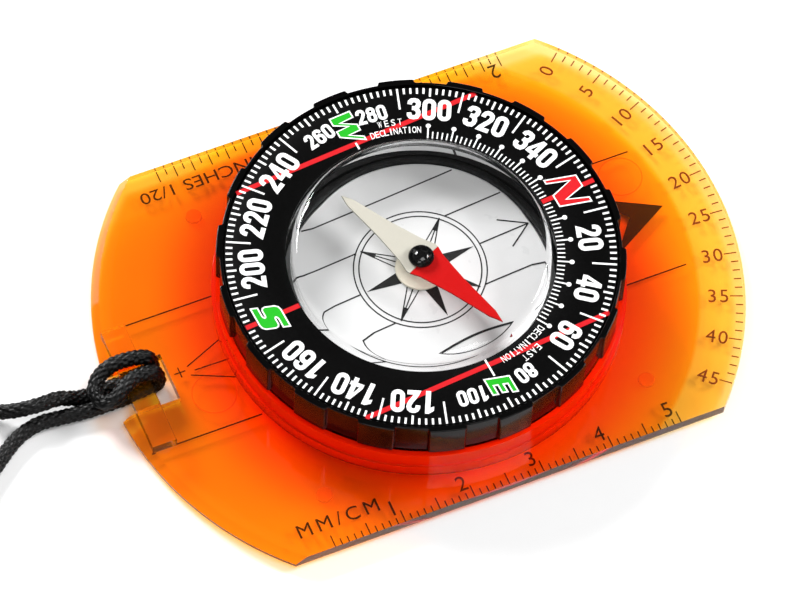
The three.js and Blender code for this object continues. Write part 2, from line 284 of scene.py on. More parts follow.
def braided_nylon(settings):
    """Braided nylon cord: black filaments laid side by side, with a soft sheen along each one."""
    material, tree = new_material("black_nylon_braid")
    across = add_node(tree, "ShaderNodeUVMap", uv_map="braid").outputs["UV"]
    fibres = add_node(tree, "ShaderNodeTexNoise", {
        "Vector": add_node(tree, "ShaderNodeMapping", {
            "Vector": across, "Scale": (0.35, 3.0, 1.0)}).outputs["Vector"],
        "Scale": 3.0, "Detail": 3.0}).outputs["Fac"]
    shader = add_node(tree, "ShaderNodeBsdfPrincipled", {
        "Base Color": shaded(tree, fibres, rgba([c * 0.4 for c in settings.colour]),
                             rgba(settings.colour)),
        "Roughness": spread(tree, fibres, 0.3, 0.46), "IOR": 1.53,
        "Specular IOR Level": 0.22,
        "Normal": bump_from(tree, fibres, 0.6, 0.08),
    })
    output(tree, shader.outputs["BSDF"])
    return material


# ---------------------------------------------------------------- mesh helpers
def make_piece(name, shape, place, material, replaces=(), smooth=40):
    """A mesh object from points in millimetres and faces, riding on a body of the frame."""
    verts, faces = shape
    mesh = bpy.data.meshes.new(name)
    mesh.from_pydata([Vector(v) * MM for v in verts], [], faces)
    return place_piece(name, mesh, place, material, replaces, smooth)


def place_piece(name, mesh, place, material, replaces=(), smooth=40):
    """Puts a mesh in its place. Edges sharper than smooth, in degrees, stay crisp."""
    matrix, body = place
    mesh.update()
    mesh.materials.append(material)
    mesh.shade_smooth()
    mesh.set_sharp_from_angle(angle=math.radians(smooth))
    piece = bpy.data.objects.new(name, mesh)
    bpy.context.scene.collection.objects.link(piece)
    piece.matrix_world = matrix
    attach(piece, body)
    if replaces:
        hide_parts(*replaces)
    return piece


def rounded_profile(points, radii, steps):
    """A closed profile of (radius, height) points with its corners rounded, by one radius or
    by one for each corner."""
    count = len(points)
    if not hasattr(radii, "__len__"):
        radii = [radii] * count
    line = []
    for i, point in enumerate(points):
        here = Vector(point)
        before, after = Vector(points[i - 1]) - here, Vector(points[(i + 1) % count]) - here
        reach = min(radii[i], 0.45 * before.length, 0.45 * after.length)
        if reach < 1e-4:
            line.append(tuple(here))
            continue
        start, end = here + before.normalized() * reach, here + after.normalized() * reach
        for k in range(steps + 1):
            t = k / steps
            line.append(tuple(start * (1 - t) ** 2 + here * 2 * t * (1 - t) + end * t ** 2))
    return line


def lathe(profile, steps=ROUND, closed=True):
    """Points and faces of a body turned about Z. An open profile starts and ends on the axis."""
    verts, faces, rows = [], [], []
    for radius, height in profile:
        if radius < 1e-6:
            rows.append([len(verts)])
            verts.append((0, 0, height))
            continue
        rows.append(list(range(len(verts), len(verts) + steps)))
        verts += [(radius * math.cos(a), radius * math.sin(a), height)
                  for a in (2 * math.pi * k / steps for k in range(steps))]
    pairs = list(zip(rows, rows[1:])) + ([(rows[-1], rows[0])] if closed else [])
    for low, high in pairs:
        for k in range(steps):
            n = (k + 1) % steps
            if len(low) == 1 and len(high) == 1:
                continue
            if len(low) == 1:
                faces.append((low[0], high[n], high[k]))
            elif len(high) == 1:
                faces.append((low[k], low[n], high[0]))
            else:
                faces.append((low[k], low[n], high[n], high[k]))
    return verts, faces


def prism(outline, bottom, top):
    """Points and faces of an upright body with a flat outline, counter-clockwise."""
    count = len(outline)
    verts = [(x, y, bottom) for x, y in outline] + [(x, y, top) for x, y in outline]
    faces = [tuple(reversed(range(count))), tuple(range(count, 2 * count))]
    faces += [(k, (k + 1) % count, count + (k + 1) % count, count + k) for k in range(count)]
    return verts, faces


def polar(radius, degrees, centre=(0, 0)):
    """The point at this distance and angle from the centre."""
    angle = math.radians(degrees)
    return centre[0] + radius * math.cos(angle), centre[1] + radius * math.sin(angle)


def arc(radius, start, end, steps, centre=(0, 0)):
    """Points on an arc, angles in degrees."""
    return [polar(radius, start + (end - start) * k / steps, centre) for k in range(steps + 1)]


def turned(points, centre, degrees):
    """Flat points turned about the origin and then moved to the centre."""
    c, s = math.cos(math.radians(degrees)), math.sin(math.radians(degrees))
    return [(centre[0] + x * c - y * s, centre[1] + x * s + y * c) for x, y in points]


def signed_area(points):
    """Twice the area of an outline, above zero when it runs anticlockwise."""
    return sum(a[0] * b[1] - b[0] * a[1] for a, b in zip(points, [*points[1:], points[0]]))


def loose_object(verts, faces):
    """A working object for booleans, with its faces turned outwards."""
    mesh = bpy.data.meshes.new("working")
    mesh.from_pydata([Vector(v) * MM for v in verts], [], faces)
    bm = bmesh.new()
    bm.from_mesh(mesh)
    bmesh.ops.recalc_face_normals(bm, faces=bm.faces)
    bm.to_mesh(mesh)
    bm.free()
    working = bpy.data.objects.new("working", mesh)
    bpy.context.scene.collection.objects.link(working)
    return working


def carve(base, steps):
    """The mesh of base after a list of (operation, points and faces)."""
    solid = loose_object(*base)
    tools = []
    for operation, shape in steps:
        tool = loose_object(*shape)
        tools.append(tool)
        cut = solid.modifiers.new("cut", "BOOLEAN")
        cut.operation, cut.object, cut.solver = operation, tool, "EXACT"
    bpy.context.view_layer.update()
    made = bpy.data.meshes.new_from_object(
        solid.evaluated_get(bpy.context.evaluated_depsgraph_get()))
    for working in (solid, *tools):
        bpy.data.objects.remove(working)
    return made


def ease_edges(piece, width_mm):
    """Takes the sharpness off a piece's edges."""
    ease = piece.modifiers.new("eased edges", "BEVEL")
    ease.width, ease.segments = width_mm * MM, 2
    ease.limit_method, ease.angle_limit = "ANGLE", math.radians(35)
    ease.use_clamp_overlap = True
    ease.harden_normals = True


# ---------------------------------------------------------------- printed marks
GLYPHS = {}


def glyphs(text, spacing):
    """Flat points and faces of a line of lettering, one unit high and centred on the origin,
    and its length."""
    key = (text, spacing)
    if key not in GLYPHS:
        curve = bpy.data.curves.new("lettering", "FONT")
        curve.body, curve.resolution_u, curve.space_character = text, 4, spacing
        letters = bpy.data.objects.new("lettering", curve)
        bpy.context.scene.collection.objects.link(letters)
        bpy.context.view_layer.update()
        flat = bpy.data.meshes.new_from_object(
            letters.evaluated_get(bpy.context.evaluated_depsgraph_get()))
        bm = bmesh.new()
        bm.from_mesh(flat)
        bmesh.ops.remove_doubles(bm, verts=bm.verts, dist=1e-5)
        bm.verts.ensure_lookup_table()
        points = [v.co.to_2d() for v in bm.verts]
        faces = [[v.index for v in f.verts] for f in bm.faces]
        bm.free()
        bpy.data.objects.remove(letters)
        bpy.data.meshes.remove(flat)
        low = Vector((min(p.x for p in points), min(p.y for p in points)))
        high = Vector((max(p.x for p in points), max(p.y for p in points)))
        centre, tall = (low + high) / 2, high.y - low.y
        GLYPHS[key] = [(p - centre) / tall for p in points], faces, (high.x - low.x) / tall
    return GLYPHS[key]


def ribbon(points, width, closed):
    """The two edges of a stroke of even width along a line."""
    points, count = [Vector(p) for p in points], len(points)
    left, right = [], []
    for k, here in enumerate(points):
        before = points[k - 1] if closed or k > 0 else None
        after = points[(k + 1) % count] if closed or k < count - 1 else None
        into = (here - before).normalized() if before else (after - here).normalized()
        out = (after - here).normalized() if after else into
        normal = Vector((-(into + out).y, (into + out).x)).normalized()
        reach = width / 2 / max(0.5, normal.dot(Vector((-out.y, out.x))))
        left.append(here + normal * reach)
        right.append(here - normal * reach)
    return left, right


def rounded_loop(x0, x1, y0, y1, radius):
    """A closed line round a rectangle with round corners."""
    corners = ((x1 - radius, y1 - radius, 0), (x0 + radius, y1 - radius, 90),
               (x0 + radius, y0 + radius, 180), (x1 - radius, y0 + radius, 270))
    return [p for x, y, turn in corners for p in arc(radius, turn, turn + 90, 6, (x, y))]


# Heavy narrow figures in a cell one unit high: strokes, closed loops and solid shapes.
FIGURE_WIDTH, FIGURE_STROKE = 0.56, 0.19
LOW_BOWL = rounded_loop(0.095, 0.465, 0.095, 0.56, 0.165)
FIGURES = {
    "0": [("loop", rounded_loop(0.095, 0.465, 0.095, 0.905, 0.175))],
    "1": [("solid", [[(0.23, 0), (0.43, 0), (0.43, 1), (0.28, 1), (0.08, 0.86), (0.08, 0.67),
                      (0.23, 0.74)]])],
    "2": [("line", [(0.095, 0.66), (0.1, 0.76), (0.14, 0.85), (0.21, 0.895), (0.28, 0.905),
                    (0.36, 0.89), (0.43, 0.83), (0.46, 0.73), (0.44, 0.62), (0.38, 0.5),
                    (0.26, 0.33), (0.17, 0.19), (0.13, 0.095), (0.54, 0.095)])],
    "3": [("line", [(0.095, 0.7), (0.11, 0.81), (0.17, 0.885), (0.28, 0.905), (0.39, 0.885),
                    (0.45, 0.81), (0.45, 0.67), (0.4, 0.57), (0.31, 0.53), (0.2, 0.53)]),
          ("line", [(0.3, 0.53), (0.41, 0.47), (0.465, 0.37), (0.465, 0.24), (0.41, 0.13),
                    (0.28, 0.095), (0.16, 0.12), (0.1, 0.2), (0.095, 0.31)])],
    "4": [("solid", [[(0.29, 1), (0.48, 1), (0.48, 0.37), (0.56, 0.37), (0.56, 0.2), (0.48, 0.2),
                      (0.48, 0), (0.29, 0), (0.29, 0.2), (0, 0.2), (0, 0.38)],
                     [(0.29, 0.37), (0.29, 0.72), (0.15, 0.37)]])],
    "6": [("loop", LOW_BOWL),
          ("line", [(0.095, 0.35), (0.095, 0.74), (0.12, 0.83), (0.18, 0.885), (0.28, 0.905),
                    (0.38, 0.885), (0.44, 0.83), (0.465, 0.7)])],
    "8": [("loop", LOW_BOWL), ("loop", rounded_loop(0.11, 0.45, 0.56, 0.905, 0.15))],
}
# The four letters, one unit high and drawn anticlockwise.
LETTERS = {
    "S": [(0, 0), (0.8, 0), (0.92, 0.04), (0.98, 0.14), (0.98, 0.5), (0.94, 0.58), (0.86, 0.62),
          (0.58, 0.62), (0.5, 0.65), (0.46, 0.71), (0.5, 0.77), (0.58, 0.8), (0.98, 0.8),
          (0.98, 1), (0.18, 1), (0.06, 0.96), (0, 0.86), (0, 0.5), (0.04, 0.42), (0.12, 0.38),
          (0.4, 0.38), (0.48, 0.35), (0.52, 0.29), (0.48, 0.23), (0.4, 0.2), (0, 0.2)],
    "N": [(0, 0), (0.09, 0), (0.13, 0.8), (0.65, 0), (1.09, 0), (1.09, 1), (0.97, 1),
          (0.89, 0.24), (0.44, 1), (0, 1)],
    "W": [(0, 0), (0.35, 0), (0.75, 0.71), (0.8, 0), (1.1, 0), (1.72, 1), (1.6, 1),
          (1.18, 0.33), (1.13, 1), (0.83, 1), (0.37, 0.23), (0.31, 1), (0, 1)],
    "E": [(0, 0), (0.77, 0), (0.77, 0.16), (0.3, 0.16), (0.3, 0.42), (0.72, 0.42),
          (0.72, 0.58), (0.3, 0.58), (0.3, 0.84), (0.77, 0.84), (0.77, 1), (0, 1)],
}


def letter_outline(letter, centre, width, height, slant, grow):
    """A letter's outline in place, made larger all round by grow."""
    points = [Vector(p) for p in LETTERS[letter]]
    wide = max(p.x for p in points)
    points = [Vector(((p.x / wide - 0.5) * width + slant * (p.y - 0.5) * height,
                      (p.y - 0.5) * height)) for p in points]
    edge = ribbon(points, 2 * grow, True)[1 if signed_area(points) > 0 else 0]
    return [tuple(p + Vector(centre)) for p in edge]


class Marks:
    """Flat printed shapes gathered into one thin piece."""

    def __init__(self, bottom, top):
        self.bottom, self.top = bottom, top
        self.verts, self.faces, self.slabs = [], [], 0

    def slab(self, points, faces):
        """Gives flat faces the thickness of the print."""
        count, start = len(points), len(self.verts)
        top = self.top + 0.0015 * (self.slabs % 4)  # crossing marks don't share a face
        self.slabs += 1
        self.verts += [(p[0], p[1], self.bottom) for p in points]
        self.verts += [(p[0], p[1], top) for p in points]
        sides = {}
        for face in faces:
            outward = signed_area([points[i] for i in face]) > 0
            ring = list(face) if outward else list(reversed(face))
            self.faces.append([start + count + i for i in ring])
            self.faces.append([start + i for i in reversed(ring)])
            for a, b in zip(ring, [*ring[1:], ring[0]]):
                if sides.pop((b, a), None) is None:
                    sides[a, b] = True
        for a, b in sides:
            self.faces.append([start + a, start + b, start + count + b, start + count + a])

    def shape(self, points, holes=()):
        """A filled outline, with any holes left open."""
        loops = [points, *holes]
        faces = tessellate_polygon([[Vector((*p, 0)) for p in loop] for loop in loops])
        self.slab([p for loop in loops for p in loop], [list(f) for f in faces])

    def bar(self, start, end, width):
        """A straight line of even width."""
        start, end = Vector(start), Vector(end)
        side = (end - start).normalized().orthogonal() * width / 2
        self.shape([start - side, end - side, end + side, start + side])

    def spoke(self, angle, inner, outer, width):
        """A bar along a radius, angle in degrees."""
        along = Vector(polar(1, angle))
        self.bar(along * inner, along * outer, width)

    def disc(self, centre, radius):
        """A filled circle."""
        self.shape(arc(radius, 0, 342, 19, centre))

    def hoop(self, radius, width, centre=(0, 0)):
        """A circle drawn with a line of even width."""
        steps = 120
        outer, inner = (arc(radius + side * width / 2, 0, 360, steps, centre)
                        for side in (1, -1))
        self.slab(outer + inner, [[k, k + 1, steps + 2 + k, steps + 1 + k]
                                  for k in range(steps)])

    def figures(self, number, centre, height, turn, width):
        """A number in heavy narrow figures, each one width across; turn is in degrees."""
        digits = str(number)
        pitch = 1.12 * width
        start = -pitch * (len(digits) - 1) / 2 - width / 2

        def placed(points, left):
            """One figure's points where they are printed."""
            return turned([(left + x / FIGURE_WIDTH * width, (y - 0.5) * height)
                           for x, y in points], centre, turn)

        for k, digit in enumerate(digits):
            left = start + pitch * k
            for kind, points in FIGURES[digit]:
                if kind == "solid":
                    self.shape(placed(points[0], left), [placed(p, left) for p in points[1:]])
                    continue
                outer, inner = ribbon(points, FIGURE_STROKE, kind == "loop")
                count = len(outer)
                links = range(count) if kind == "loop" else range(count - 1)
                self.slab(placed(outer + inner, left), [
                    [k, (k + 1) % count, count + (k + 1) % count, count + k] for k in links])

    def text(self, words, centre, height, turn=0.0, narrow=1.0, spacing=1.0, width=None):
        """Lettering of a given height; turn is in degrees, and width sets its whole length."""
        points, faces, length = glyphs(words, spacing)
        if width:
            narrow = width / (length * height)
        flat = turned([(narrow * x, y) for x, y in points], (0, 0), turn)
        self.slab([(centre[0] + height * x, centre[1] + height * y) for x, y in flat], faces)

    def piece(self, name, place, material, slot):
        """Makes one piece of all the marks."""
        make_piece(name, (self.verts, self.faces), place, material, smooth=20)


# ---------------------------------------------------------------- settings
def colour_setting(name, description, default):
    """A colour property, its default an sRGB hex value."""
    return FloatVectorProperty(name=name, description=description, subtype="COLOR",
                               size=3, min=0, max=1, default=tint(default))


class CompassStageSettings(bpy.types.PropertyGroup):
    """The table and the lamps."""

    floor_tint: colour_setting("Table Colour", "Colour of the plain table", 0xF6F6F6)
    key_power: FloatProperty(
        name="Key Lamps", description="Power of the lamps overhead and behind the compass",
        default=6.0, min=0, unit="POWER")
    fill_power: FloatProperty(
        name="Fill Lamps", description="Power of the lamps at the sides", default=4.0,
        min=0, unit="POWER")
    surround: FloatProperty(
        name="Surround", description="Brightness of the plain surround", default=0.12, min=0)


class CompassPlateSettings(bpy.types.PropertyGroup):
    """The baseplate and its prints."""

    body: colour_setting("Body Colour", "Colour of the plate's middle", 0xFFCE28)
    # Painted shade: the plate's colour by the dial, deeper where the bezel shades it.
    near_dial: colour_setting("Colour by the Dial", "Colour of the plate by the dial", 0xFFA014)
    # Painted light: the colour of the borders, paler where light gathers at the plate's edges.
    border: colour_setting("Border Colour", "Colour of the paler borders", 0xFFECB4)
    # Painted shade: the collar's deeper red, for the black bezel behind it and the long path
    # through it.
    collar: colour_setting("Collar Colour", "Colour of the collar round the dial", 0xFF2A00)
    dye: colour_setting("Dye", "Colour that the dye leaves in the light", 0xFFE100)
    ink: colour_setting("Ink", "Colour of the rulers and lines", 0x100000)
    faded_ink: colour_setting("Scale Ink", "Colour of the protractor scale", 0x6A2604)
    dye_density: FloatProperty(
        name="Dye Density", description="How fast the dye takes light away, per metre",
        default=350.0, min=0)
    clearness: FloatProperty(
        name="Clearness", description="Share of the light that goes through the plastic",
        default=0.99, min=0, max=1, subtype="FACTOR")
    easing: FloatProperty(
        name="Edge Easing", description="Width of the eased edges in millimetres",
        default=0.16, min=0, max=0.4)


class CompassDialSettings(bpy.types.PropertyGroup):
    """The bezel and the dial."""

    bezel: colour_setting("Bezel Colour", "Colour of the turning ring", 0x040404)
    face: colour_setting("Face Colour", "Colour of the dial's face", 0x010101)
    figures: colour_setting("Figures", "Colour of the figures and ticks", 0xFFFFFF)
    red: colour_setting("North Red", "Colour of the north mark and lines", 0xC80010)
    green: colour_setting("Letter Green", "Colour of the other letters", 0x0AAA0A)
    lug_count: IntProperty(
        name="Lugs", description="Number of finger lugs round the bezel",
        default=18, min=6, max=36)


class CompassCapsuleSettings(bpy.types.PropertyGroup):
    """The capsule, its chart and its needle."""

    chart: colour_setting("Chart Colour", "Colour of the disc under the needle", 0xDEDEDE)
    chart_ink: colour_setting("Chart Ink", "Colour of the lines on the chart", 0x050505)
    hub: colour_setting("Hub Colour", "Colour of the pivot's seat", 0xE6DFCC)
    north: colour_setting("North Half", "Colour of the needle's north half", 0xB80202)
    south: colour_setting("South Half", "Colour of the needle's south half", 0xBCB8AC)


class CompassLanyardSettings(bpy.types.PropertyGroup):
    """The braided lanyard."""

    colour: colour_setting("Cord Colour", "Colour of the braid", 0x030303)
    diameter: FloatProperty(
        name="Cord Diameter", description="Thickness of the cord",
        default=2.1 * MM, min=0.5 * MM, max=5 * MM, unit="LENGTH")


SETTINGS = {
    "compass_stage": CompassStageSettings,
    "compass_plate": CompassPlateSettings,
    "compass_dial": CompassDialSettings,
    "compass_capsule": CompassCapsuleSettings,
    "compass_lanyard": CompassLanyardSettings,
}


# ---------------------------------------------------------------- stage
CAMERA_PLACE = Vector((-163.41, -327.08, 622.99)) * MM
CAMERA_RIGHT = Vector((0.91997, -0.39064, 0.03229))
CAMERA_UP = Vector((0.32248, 0.80113, 0.50418))
CAMERA_LENS = 240.2


def area_lamp(name, place, size, power):
    """A square white lamp that shines at the compass, with its place and size in metres."""
    lamp = bpy.data.lights.new(name, "AREA")
    lamp.shape, lamp.size, lamp.energy = "SQUARE", size, power
    item = bpy.data.objects.new(name, lamp)
    item.location = place
    item.rotation_mode = "QUATERNION"
    item.rotation_quaternion = (-Vector(place)).to_track_quat("-Z", "Y")
    bpy.context.scene.collection.objects.link(item)


class COMPASS_OT_camera(bpy.types.Operator):
    """Adds the camera at the angle the compass is shown from"""

    bl_idname = "compass.camera"
    bl_label = "Camera"

    def execute(self, context):
        lens = bpy.data.cameras.new("camera")
        lens.lens, lens.sensor_width = CAMERA_LENS, 36
        lens.clip_start, lens.clip_end = 0.01, 20
        camera = bpy.data.objects.new("camera", lens)
        context.scene.collection.objects.link(camera)
        turn = Matrix((CAMERA_RIGHT, CAMERA_UP, CAMERA_RIGHT.cross(CAMERA_UP))).transposed()
        camera.matrix_world = Matrix.Translation(CAMERA_PLACE) @ turn.to_4x4()
        context.scene.camera = camera
        return {"FINISHED"}


class COMPASS_OT_stage(bpy.types.Operator):
    """Adds the pale table, the lamps and the plain surround"""

    bl_idname = "compass.stage"
    bl_label = "Table and Lamps"

    def execute(self, context):
        settings = context.scene.compass_stage
        material, tree = new_material("white_matt_board")
        fleck = grain(tree, 3.0)
        shader = add_node(tree, "ShaderNodeBsdfPrincipled", {
            "Base Color": shaded(tree, fleck, rgba([c * 0.995 for c in settings.floor_tint]),
                                 rgba(settings.floor_tint)),
            "Roughness": 0.9, "Specular IOR Level": 0.1})
        output(tree, shader.outputs["BSDF"])
        half = 3.0  # metres
        mesh = bpy.data.meshes.new("table")
        mesh.from_pydata([(-half, -half, 0), (half, -half, 0), (half, half, 0),
                          (-half, half, 0)], [], [(0, 1, 2, 3)])
        mesh.materials.append(material)
        table = bpy.data.objects.new("table", mesh)
        context.scene.collection.objects.link(table)
        table.location.z = -0.02 * MM
        key, fill = settings.key_power, settings.fill_power
        area_lamp("overhead", (0.1, -0.35, 1.1), 0.6, key * 0.85)
        area_lamp("behind", (-0.3, 0.98, 0.68), 0.4, key * 3.2)
        area_lamp("right", (1.05, -0.1, 0.72), 0.4, fill * 3.4)
        area_lamp("front_left", (-0.6, -0.7, 0.7), 0.4, fill * 0.6)
        world = bpy.data.worlds.new("surround")
        world.use_nodes = True
        background = world.node_tree.nodes["Background"]
        background.inputs["Color"].default_value = (1, 1, 1, 1)
        background.inputs["Strength"].default_value = settings.surround
        context.scene.world = world
        context.scene.view_settings.view_transform = "Standard"
        return {"FINISHED"}


# ---------------------------------------------------------------- lanyard
CORD_REST = 1.15  # height of the cord's middle where it lies on the table
TIE_ANGLE = 150  # place of the tie round the coil, in degrees
COIL_CENTRE = (-82, 6)
KNOT_CENTRE = (-69.5, -9, 2.7)
HITCH_MIDDLE = (-46.4, 0.9, 3.8)
HITCH_ROUTE = [
    (-37.75, 2.7, 2.3), (-37.7, 2.8, 3.8), (-38.2, 3.0, 4.95), (-39.6, 3.4, 5.15),
    (-41.3, 3.6, 5.15), (-42.95, 3.6, 5.0), (-44.7, 3.2, 4.4), (-46.0, 2.1, 3.9), HITCH_MIDDLE,
    (-45.9, -0.7, 3.9), (-44.5, -1.1, 4.6), (-43.0, -0.4, 5.05), (-41.5, 0.4, 5.2),
    (-39.8, 0.7, 5.15), (-38.2, 0.55, 4.95), (-37.7, 0.4, 3.8), (-37.75, 0.3, 2.3),
]
UPPER_RUN = [
    (-43.5, 2.6, 1.15), (-47.9, 2.6, 1.2), (-51.0, 2.9, 2.4), (-54.0, 2.5, 3.3),
    (-57.2, 3.3, 2.6), (-60.3, 5.1, 1.5), (-62.8, 7.9, 1.15), (-65.6, 12.0, 1.15),
    (-68.6, 17.0, 1.15),
]
LOWER_RUN = [
    (-43.5, 0.3, 1.15), (-47.9, 0.35, 1.15), (-51.5, 0.75, 1.15), (-54.5, 0.95, 1.15),
    (-57.8, 0.0, 1.15), (-61.2, -2.3, 1.15), (-64.3, -4.9, 1.15), (-67.0, -7.4, 1.6),
]


def coil_run():
    """The cord's centre round the coil: three turns outside in, three inside out, then up and
    two and a half more, ending level with the knot."""
    inner, middle, outer = 9.95, 12.45, 14.95
    turns = [(outer, 0), (middle, 0), (inner, 0), (inner, 1), (middle, 1), (outer, 1),
             (middle, 2), (outer, 2), (outer, 2)]
    start, end, step = 72, 3145, 10  # degrees
    shift = 54  # degrees at the end of a turn in which the cord moves to the next
    layer, tie_lift, tie_spread = 2.2, 0.5, 24
    points = []
    for angle in range(start, end, step):
        turn, within = divmod(angle - start, 360)
        here, after = turns[turn], turns[min(turn + 1, len(turns) - 1)]
        t = max(0.0, (within - 360 + shift) / shift)
        t = t * t * (3 - 2 * t)
        radius = here[0] * (1 - t) + after[0] * t
        level = here[1] * (1 - t) + after[1] * t
        from_tie = (angle - TIE_ANGLE + 180) % 360 - 180
        height = CORD_REST + layer * level + tie_lift * math.exp(-(from_tie / tie_spread) ** 2)
        points.append((*polar(radius, angle, COIL_CENTRE), height))
    return points


def lanyard_route():
    """Points in millimetres from the middle of the hitch, over the bridge, down through the
    slot, out to the coil, through the knot, and back to the middle of the hitch."""
    middle = HITCH_ROUTE.index(HITCH_MIDDLE)
    out = list(reversed(HITCH_ROUTE[:middle + 1])) + [(-39.2, 2.6, 1.45), (-41.2, 2.6, 1.25)]
    back = [(-41.2, 0.3, 1.25), (-39.2, 0.3, 1.45)] + list(reversed(HITCH_ROUTE[middle:]))
    to_knot = [(-80.5, -9.1, 5.3), (-77.0, -9.1, 4.4), (-73.4, -9.1, 3.3), KNOT_CENTRE]
    return out + UPPER_RUN + coil_run() + to_knot + list(reversed(LOWER_RUN)) + back


def smooth_line(points, fine_step, coarse_step, ends):
    """Points on a smooth curve through the given ones: close together within a length of
    either end, and further apart between. Gives each one's distance along the curve too."""
    points = [Vector(p) for p in points]
    fine = []
    for k in range(len(points) - 1):
        p0, p1, p2, p3 = (points[max(k - 1, 0)], points[k], points[k + 1],
                          points[min(k + 2, len(points) - 1)])
        for i in range(12):
            t = i / 12
            fine.append(0.5 * (2 * p1 + (p2 - p0) * t + (2 * p0 - 5 * p1 + 4 * p2 - p3) * t * t
                               + (3 * p1 - p0 - 3 * p2 + p3) * t ** 3))
    fine.append(points[-1])
    lengths = [0.0]
    for a, b in zip(fine, fine[1:]):
        lengths.append(lengths[-1] + (b - a).length)
    whole, wanted = lengths[-1], [0.0]
    while wanted[-1] < whole - 1.2 * fine_step:
        near = wanted[-1] < ends or wanted[-1] > whole - ends
        wanted.append(wanted[-1] + (fine_step if near else coarse_step))
    if whole - wanted[-2] < 0.6 * fine_step:
        wanted.pop()
    wanted[-1] = whole
    at, line = 0, []
    for want in wanted:
        while at < len(fine) - 2 and lengths[at + 1] < want:
            at += 1
        share = (want - lengths[at]) / max(lengths[at + 1] - lengths[at], 1e-9)
        line.append(fine[at].lerp(fine[at + 1], min(share, 1.0)))
    return line, wanted


def plait(along, around, lay, strands):
    """Height from 0 to 1 of a plain plait, over one and under one, where two families of
    strands cross."""
    a, b = strands * around + along / lay, strands * around - along / lay
    fa, fb = a % 1.0, b % 1.0
    if (math.floor(a) + math.floor(b)) % 2:
        fa, fb = fb, fa
    return math.sin(math.pi * fa) ** 0.6 * (0.45 + 0.55 * math.sin(math.pi * fb))


def braided_tube(name, points, radius, steps, relief, material, replaces):
    """A plaited cord along a line of points in millimetres, with its length across and along
    kept for the filaments."""
    line, distances = smooth_line(points, *steps)
    sides, lay, strands = 40, 1.5, 8
    along = [(b - a).normalized() for a, b in zip(line, line[1:])]
    along.append(along[-1])
    side = along[0].orthogonal().normalized()
    verts, uvs = [], []
    for point, heading, at in zip(line, along, distances):
        side = (side - heading * side.dot(heading)).normalized()
        up = heading.cross(side)
        for k in range(sides):
            a = 2 * math.pi * k / sides
            reach = radius - relief + relief * 1.15 * plait(at, k / sides, lay, strands)
            verts.append(point + (side * math.cos(a) + up * math.sin(a)) * reach)
            uvs.append((at, k / sides * 2 * math.pi * radius))
    faces, corners = [], []
    for i in range(len(line) - 1):
        for k in range(sides):
            n = (k + 1) % sides
            faces.append((i * sides + k, i * sides + n, (i + 1) * sides + n, (i + 1) * sides + k))
            wrap = 2 * math.pi * radius if n == 0 else uvs[i * sides + n][1]
            corners += [uvs[i * sides + k], (uvs[i * sides][0], wrap),
                        (uvs[(i + 1) * sides][0], wrap), uvs[(i + 1) * sides + k]]
    last = (len(line) - 1) * sides
    faces += [tuple(reversed(range(sides))), tuple(range(last, last + sides))]
    corners += [(0, 0)] * (2 * sides)
    mesh = bpy.data.meshes.new(name)
    mesh.from_pydata([v * MM for v in verts], [], faces)
    layer = mesh.uv_layers.new(name="braid")
    layer.data.foreach_set("uv", [x for corner in corners for x in corner])
    tube = place_piece(name, mesh, ON_PLATE, material, replaces, smooth=80)
    return tube, line, distances[-1]


class COMPASS_OT_lanyard(bpy.types.Operator):
    """Hitches the braided lanyard over the bridge, with its slack coiled and tied"""

    bl_idname = "compass.lanyard"
    bl_label = "Lanyard"

    def execute(self, context):
        settings = context.scene.compass_lanyard
        diameter = settings.diameter
        material = braided_nylon(settings)
        cord, line, length = braided_tube(
            "lanyard_cord", lanyard_route(), diameter / MM / 2, (0.2, 0.38, 72), 0.34, material,
            ("lanyard_hitch", "lanyard_strand_upper", "lanyard_strand_lower", "lanyard_coil"))
        ball = [Vector(KNOT_CENTRE) + Vector((
            0.62 * (2 + math.cos(3 * t)) * math.cos(2 * t),
            0.62 * (2 + math.cos(3 * t)) * math.sin(2 * t),
            1.15 * math.sin(3 * t))) for t in (2 * math.pi * k / 60 for k in range(61))]
        knot, _, _ = braided_tube(
            "lanyard_knot_turns", ball, 0.98, (0.3, 0.3, 0), 0.2, material, ("lanyard_knot",))
        tie = self.tie()
        return {"FINISHED"}

    def tie(self):
        """A flat rubber tie round the bundle of turns."""
        material = moulded_plastic("black_rubber_tie", linear(0x141414), 0.7, size_mm=0.5)
        inner, outer, low, high = 8.55, 16.3, 0.05, 8.0
        thick, half_width = 0.5, 1.1
        corners = rounded_profile([(inner, low), (outer, low), (outer, high), (inner, high)],
                                  [0.9, 0.9, 2.2, 2.2], 6)
        centre = Vector(((inner + outer) / 2, (low + high) / 2))
        out, side = (Vector((*polar(1, TIE_ANGLE + turn), 0)) for turn in (0, 90))
        base = Vector((*COIL_CENTRE, 0))
        verts, faces, count = [], [], len(corners)
        for corner in corners:
            outside = Vector(corner)
            inside = outside + (centre - outside).normalized() * thick
            for across in (-half_width, half_width):
                for p in (outside, inside):
                    verts.append(base + out * p.x + Vector((0, 0, p.y)) + side * across)
        for k in range(count):
            i, n = 4 * k, 4 * ((k + 1) % count)
            faces += [(i, n, n + 2, i + 2), (i + 1, i + 3, n + 3, n + 1),
                      (i, i + 1, n + 1, n), (i + 2, n + 2, n + 3, i + 3)]
        return make_piece("lanyard_tie", (verts, faces), ON_PLATE, material)


